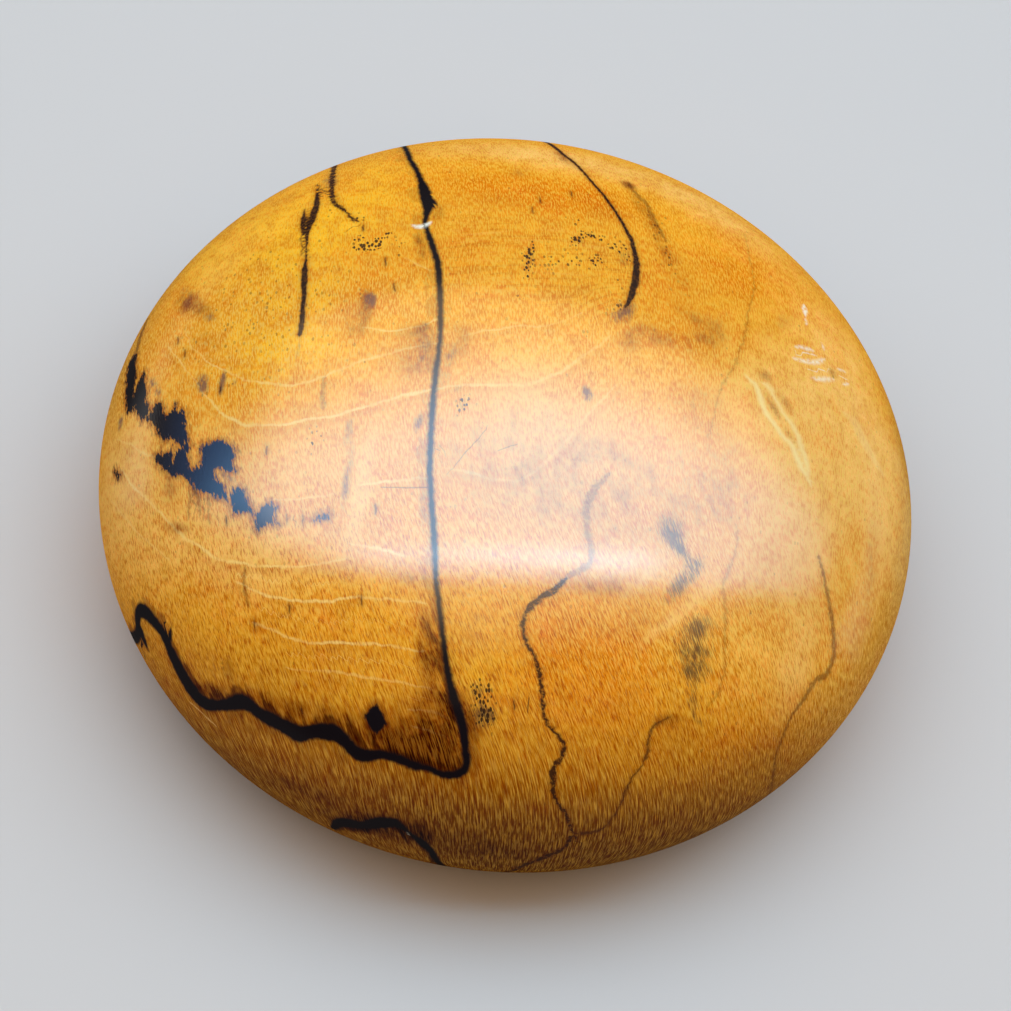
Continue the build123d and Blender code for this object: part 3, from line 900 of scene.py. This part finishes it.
HONEY = (0.86, 0.355, 0.016, 1)
GOLDEN = (1.0, 0.525, 0.014, 1)
ORANGE_BROWN = (0.78, 0.24, 0.003, 1)
TAN = (0.92, 0.49, 0.12, 1)
# painted shade: the dark amber that the front of the dome is darkened to
FRONT_SHADE_AMBER = (0.34, 0.095, 0.002, 1)
STRAW = (0.97, 0.58, 0.14, 1)
PALE_STRAW = (1.0, 0.72, 0.27, 1)
LIGHT_GOLD = (0.92, 0.46, 0.045, 1)
RUST = (0.15, 0.040, 0.006, 1)
PLUM = (0.17, 0.065, 0.050, 1)
SMOKE_BROWN = (0.095, 0.050, 0.020, 1)
DARK_BROWN = (0.028, 0.010, 0.005, 1)
BLACK = (0.008, 0.005, 0.006, 1)
# painted reflection: black rot tinted by a reflected cool light
BLACK_WITH_BLUE_REFLECTION = (0.020, 0.040, 0.085, 1)
SCUFF_WHITE = (0.98, 0.90, 0.70, 1)
# HONEY_DYE also darkens the dark side of the fine ripple, which is partly painted shade.
HONEY_DYE = (0.90, 0.655, 0.41, 1)      # the darker clouds in the wood
TEA_DYE = (0.66, 0.42, 0.26, 1)         # the dark between the fibres
WALNUT_DYE = (0.36, 0.19, 0.12, 1)      # brown stains
BURNT_DYE = (0.24, 0.13, 0.10, 1)       # the darkest of them


class Grain:
    """The places, cloudy noises and kept measures that all parts of the finish share."""

    def __init__(self):
        unit_chart = Field.make("ShaderNodeUVMap", {}, uv_map="chart")
        centred = {"Vector": unit_chart, "Location": (-CHART_SPAN / 2, -CHART_SPAN / 2, 0)}
        centred["Scale"] = (CHART_SPAN, CHART_SPAN, 1)
        self.chart = Field.make("ShaderNodeMapping", centred)
        self.u, self.v, _ = self.chart.parts()
        rays = along_the_grain(self.u, self.v)
        self.fibres = rays.noise(0.15, 3, 0.55)
        self.strands = rays.turned(0, 1.0, 0.4).noise(1.2, 3, 0.6)
        self.bands = across_the_rings(self.u, self.v).noise(0.8, 3, 0.6)
        self.clouds = self.chart.noise(14, 2)
        self.mottle = self.chart.noise(2.6, 4, 0.62)
        self.ripple = rays.turned(0, 1.0, 0.75).noise(0.17, 2, 0.6)
        self.waver = (self.chart.noise(0.7, 2) - 0.5) * 0.30
        self.gold, self.orange, self.pale_and_sheen = measures("tone")
        self.brown, self.violet, self.grey = measures("stain")
        self.rot, self.speckle, self.out = measures("rot")


def broad_tones(grain):
    """Honey wood with golden, orange and tan regions, the tan partly painted sheen towards the sides. Painted
    shade darkens the front to amber and darkens the rim, and painted light brightens the upper dome.
    """
    mottle, clouds, strands = grain.mottle - 0.5, grain.clouds - 0.5, grain.strands - 0.5
    unsettled = mottle * 0.9 + clouds * 0.5 + strands * 0.5
    colour = Field.plain(HONEY)
    colour = colour.towards(GOLDEN, (grain.gold * 0.8 + unsettled).ramp(0.0, 1.0))
    colour = colour.towards(ORANGE_BROWN, (grain.orange + unsettled * 0.9).ramp(0.0, 1.0))
    # The tan is partly the wood's pale tone and partly painted sheen towards the sides.
    colour = colour.towards(TAN, (grain.pale_and_sheen + unsettled * 0.6).ramp(0.0, 1.0))
    # Painted shade: the front of the dome, turned away from the lamps, darkens to amber, most at the front
    # rim.
    low = grain.out * 0.5 + grain.u * 0.05 - grain.v * 0.75 + unsettled * 3.5
    colour = colour.towards(FRONT_SHADE_AMBER, low.ramp(42, 64) * 0.9)
    blotches = (grain.chart.noise(4.5, 5, 0.65) + strands * 0.3).ramp(0.50, 0.66)
    dark = (mottle * -1.0 - strands * 0.9).ramp(0.0, 0.22)
    colour = colour.dyed(HONEY_DYE, blotches.or_more(dark * 0.7) * 0.6)
    # Painted shade: the rim is darkened all round except towards the lower left.
    rim_shade = grain.out.ramp(44, 52) * (grain.u + grain.v).ramp(-66, -50)
    cloudy = mottle * grain.v.ramp(-30, -16, 0.45, 0.25) + clouds * 0.15 + strands * 0.2
    # Painted light and shade: the upper dome is made lighter than the front, and the front rim darker still,
    # with the wood's mottle over both.
    brightness = (grain.v.ramp(-40, -20, 0.98, 1.12) + cloudy) * low.ramp(54, 70, 1.0, 0.5)
    return colour.times(brightness * (1 - rim_shade * 0.28))


def lay_fibres(colour, grain):
    """Fine rays, which stand out most towards the front, with a finer ripple over them. The ripple's dark and
    pale sides are partly the wood's fine grain and partly painted shade and highlight of its relief,
    strongest on the upper dome.
    """
    contrast = grain.v.ramp(-32, -6, 1.0, 0.12)
    colour = colour.dyed(TEA_DYE, grain.fibres.ramp(0.52, 0.30) * contrast)
    bright = grain.fibres.ramp(0.50, 0.74) * contrast
    golden = grain.v.ramp(-34, -20, 0.6, 0.2) * grain.v.ramp(-52, -42, 0.6, 1.0)
    colour = colour.towards(LIGHT_GOLD, bright * golden)
    colour = colour.towards(STRAW, bright * grain.v.ramp(-34, -20, 0.0, 0.45))
    colour = lay_bands(colour, grain)
    # Partly painted shade and highlight: the ripple's dark and pale sides also stand in for the light its
    # relief catches.
    dark = grain.ripple.ramp(0.51, 0.37) * grain.v.ramp(-36, -20, 0.45, 0.85)
    colour = colour.dyed(HONEY_DYE, dark)
    pale_ripple_and_glint = grain.ripple.ramp(0.49, 0.63) * grain.v.ramp(-36, -20, 0.25, 1.0)
    colour = colour.towards(LIGHT_GOLD, pale_ripple_and_glint * 0.7)
    return colour.towards(STRAW, pale_ripple_and_glint * grain.v.ramp(2, 14, 0.35, 0.0))


def lay_bands(colour, grain):
    """Growth bands across the rays, faint all over and plain only just behind the top."""
    behind_the_top = grain.v.ramp(4, 9) * grain.v.ramp(22, 16) * grain.u.ramp(-14, -12) * grain.u.ramp(12, 8)
    banded = 0.05 + behind_the_top * 0.4
    colour = colour.dyed(TEA_DYE, grain.bands.ramp(0.52, 0.34) * banded * 0.8)
    return colour.towards(STRAW, grain.bands.ramp(0.54, 0.74) * banded * 0.4)


def draw_rings(colour, grain):
    """Thin pale growth rings, broken up by the rays, each over a soft darker band."""
    wavy = grain.waver * 0.8 + (grain.mottle - 0.5) * 0.7
    under_ring = line_of("ring_line", wavy + 0.6, 0.8)
    colour = colour.dyed(TEA_DYE, under_ring * 0.3)
    broken = grain.fibres.ramp(0.35, 0.55, 0.5, 1) * grain.chart.noise(3.2, 2).ramp(0.35, 0.6, 0.5, 1)
    rings = line_of("ring_line", wavy, 0.13, thickness=0.75) * broken * grain.u.ramp(-6, 6, 1.0, 0.5)
    return colour.towards(STRAW, rings).towards(PALE_STRAW, rings * 0.2)


def stain_wood(colour, grain):
    """Brown, violet and grey stains, broken up along the rays."""
    mottle, strands, fibres = grain.mottle - 0.5, grain.strands - 0.5, grain.fibres - 0.5
    broken = 1 + mottle * 2.4 + strands * 1.6 + fibres * 1.6
    hatched = 2.3 - broken * 0.5 - grain.fibres * 1.6
    brown = grain.brown * broken
    streaks = grain.fibres.ramp(0.38, 0.58, 1.0, 0.55)
    colour = colour.dyed(WALNUT_DYE, brown.ramp(0.06, 1.0) * streaks)
    colour = colour.dyed(BURNT_DYE, brown.ramp(0.75, 1.7) * streaks)
    colour = colour.towards(PLUM, (grain.violet * broken).ramp(0.12, 1.0) * 0.85)
    return colour.towards(SMOKE_BROWN, (grain.grey * hatched).ramp(0.08, 1.15) * 0.85)


def open_pores(colour, grain):
    """Small dark pores, thick only in the speckled places. Gives their pattern too."""
    cells = {"Vector": grain.chart.turned(106, 0.62, 0.36), "Scale": 1.0, "Randomness": 1.0}
    near = Field.make("ShaderNodeTexVoronoi", cells, output="Distance", voronoi_dimensions="2D")
    luck, size, _ = Field(near.socket.node.outputs["Color"]).parts()
    width = size.ramp(0, 1, 0.22, 0.44) + grain.speckle.ramp(0.7, 1.5, 0.0, 0.16)
    chosen = (grain.speckle + 0.05 + (grain.mottle - 0.5) * 0.4 - luck).ramp(0.0, 0.15)
    pores = (width - near).ramp(-0.08, 0.10) * chosen
    depth = grain.speckle.ramp(0.1, 0.5, 0.4, 0.92)
    return colour.towards(DARK_BROWN, pores * depth), pores


def draw_veins(colour, grain):
    """Veins: black where they are strong, thin and rust brown where they are faint."""
    _, _, strength = measures("vein")
    uneven = (grain.waver * 2.0 + (grain.mottle - 0.5) * 0.4) * strength.ramp(0.85, 1.0, 1.0, 0.4)
    stipple = grain.chart.noise(0.45, 2, 0.6).ramp(0.34, 0.50, 0.2, 1.0)
    stipple = stipple.or_more(strength.ramp(0.8, 1.0, 0.0, 0.75))
    halo = line_of("vein", uneven * 1.5, 0.8)
    ink = line_of("vein", uneven, 0.18)
    colour = colour.dyed(WALNUT_DYE, halo * stipple * 0.7)
    colour = colour.towards(RUST, ink * 0.8)
    return colour.towards(DARK_BROWN, ink * ink.ramp(0.45, 0.85, 0.15, 1.0) * stipple)


def draw_rot(colour, grain):
    """Black rot patches with ragged, rust-stained edges and a painted bluish reflection on their inner part,
    and the zone lines between colours.
    """
    spikes = (grain.chart.turned(112, 1.1, 0.3).noise(1, 4, 0.65) - 0.5) * grain.v.ramp(-38, -30, 0.5, 1.9)
    ragged = grain.rot + spikes
    colour = colour.dyed(WALNUT_DYE, ragged.ramp(0.0, 0.9, 1, 0) * 0.7)
    # Painted reflection: the rot patches nearer the middle of the dome turn blue-black, as if they reflected
    # the cool lamp.
    blue_reflection = grain.u.ramp(-42, -31) * grain.v.ramp(-30, -20)
    rot = Field.plain(BLACK).towards(BLACK_WITH_BLUE_REFLECTION, blue_reflection)
    colour = colour.towards(rot, ragged.ramp(-0.14, 0.16, 1, 0))

    side, half_width, ink = measures("zone_line")
    reach = grain.strands.ramp(0.25, 0.75, 0.2, 1.9)
    beyond = (half_width + reach - side.size()).ramp(0.0, 0.9)
    inner_side = side.ramp(-0.1, 0.1, 1.0, 0.3)
    fringe = beyond * inner_side * grain.v.ramp(-38, -26, 1.0, 0.3) * ink
    colour = colour.dyed(BURNT_DYE, fringe * 0.85)
    thicker = grain.v.ramp(-42, -32, 1.1, 1.0)
    return colour.towards(BLACK, line_of("zone_line", grain.waver * 0.9, 0.25, thickness=thicker))


def wear(colour, grain):
    """Hairline checks, painted highlights along the fold in the grain, and white scuffs."""
    hairs = line_of("hairline", grain.waver * 0.2, 0.05)
    colour = colour.towards(DARK_BROWN, hairs * 0.8)
    # Painted highlight: the fold's two edges are drawn pale and bright, with a softer glow around them.
    uneven = grain.waver * 0.8 + (grain.mottle - 0.5) * 0.9
    fold_highlight = line_of("fold_highlight", uneven, 0.4)
    colour = colour.towards(STRAW, line_of("fold_highlight", uneven, 1.1) * 0.35)
    colour = colour.towards(PALE_STRAW, fold_highlight * 0.95)
    scuffs = line_of("scuff", grain.waver, 0.28) * grain.chart.noise(0.5, 2).ramp(0.3, 0.55, 0.3, 1)
    return colour.towards(SCUFF_WHITE, scuffs * 0.9)


def spalted_wood():
    """Lacquered honey-coloured hardwood with black zone lines, stains and pale growth rings."""
    material = bpy.data.materials.new("spalted_wood")
    material.use_nodes = True
    Field.tree = material.node_tree
    shader = Field.tree.nodes["Principled BSDF"]
    grain = Grain()
    colour = broad_tones(grain)
    colour = lay_fibres(colour, grain)
    colour = draw_rings(colour, grain)
    colour = stain_wood(colour, grain)
    colour, pores = open_pores(colour, grain)
    colour = draw_veins(colour, grain)
    colour = draw_rot(colour, grain)
    colour = wear(colour, grain)
    colour.goes_to(shader.inputs["Base Color"])

    # The lacquer is glossy on top, rubbed dull at the front, and quieter where it turns away.
    lacquer = {"Roughness": 0.4, "Specular IOR Level": 0.0, "Coat Roughness": 0.14, "Coat IOR": 2.0}
    for name, value in lacquer.items():
        shader.inputs[name].default_value = value
    facing = Field.make("ShaderNodeLayerWeight", {"Blend": 0.5}, output="Facing")
    rubbed = (grain.u.size() * 0.35 - grain.v * 1.1).ramp(31, 39, 1.0, 0.05)
    gloss = facing.ramp(0.28, 0.62, 1.0, 0.05).or_less(rubbed)
    gloss.goes_to(shader.inputs["Coat Weight"])

    height = (grain.fibres - 0.5) * 0.5 + (grain.ripple - 0.5) * 0.3 - pores * 0.6
    relief = {"Height": height, "Distance": 0.02 * MM, "Strength": 0.6}
    bump = Field.make("ShaderNodeBump", relief, output="Normal")
    bump.goes_to(shader.inputs["Normal"])
    bump.goes_to(shader.inputs["Coat Normal"])
    return material


place_camera()
light_the_bench()
lay_floor()
body = turn_body(spalted_wood())
point_outwards(body.data)
unroll(body.data)
lay_marks(body.data)
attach(body, "root")
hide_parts("paperweight")
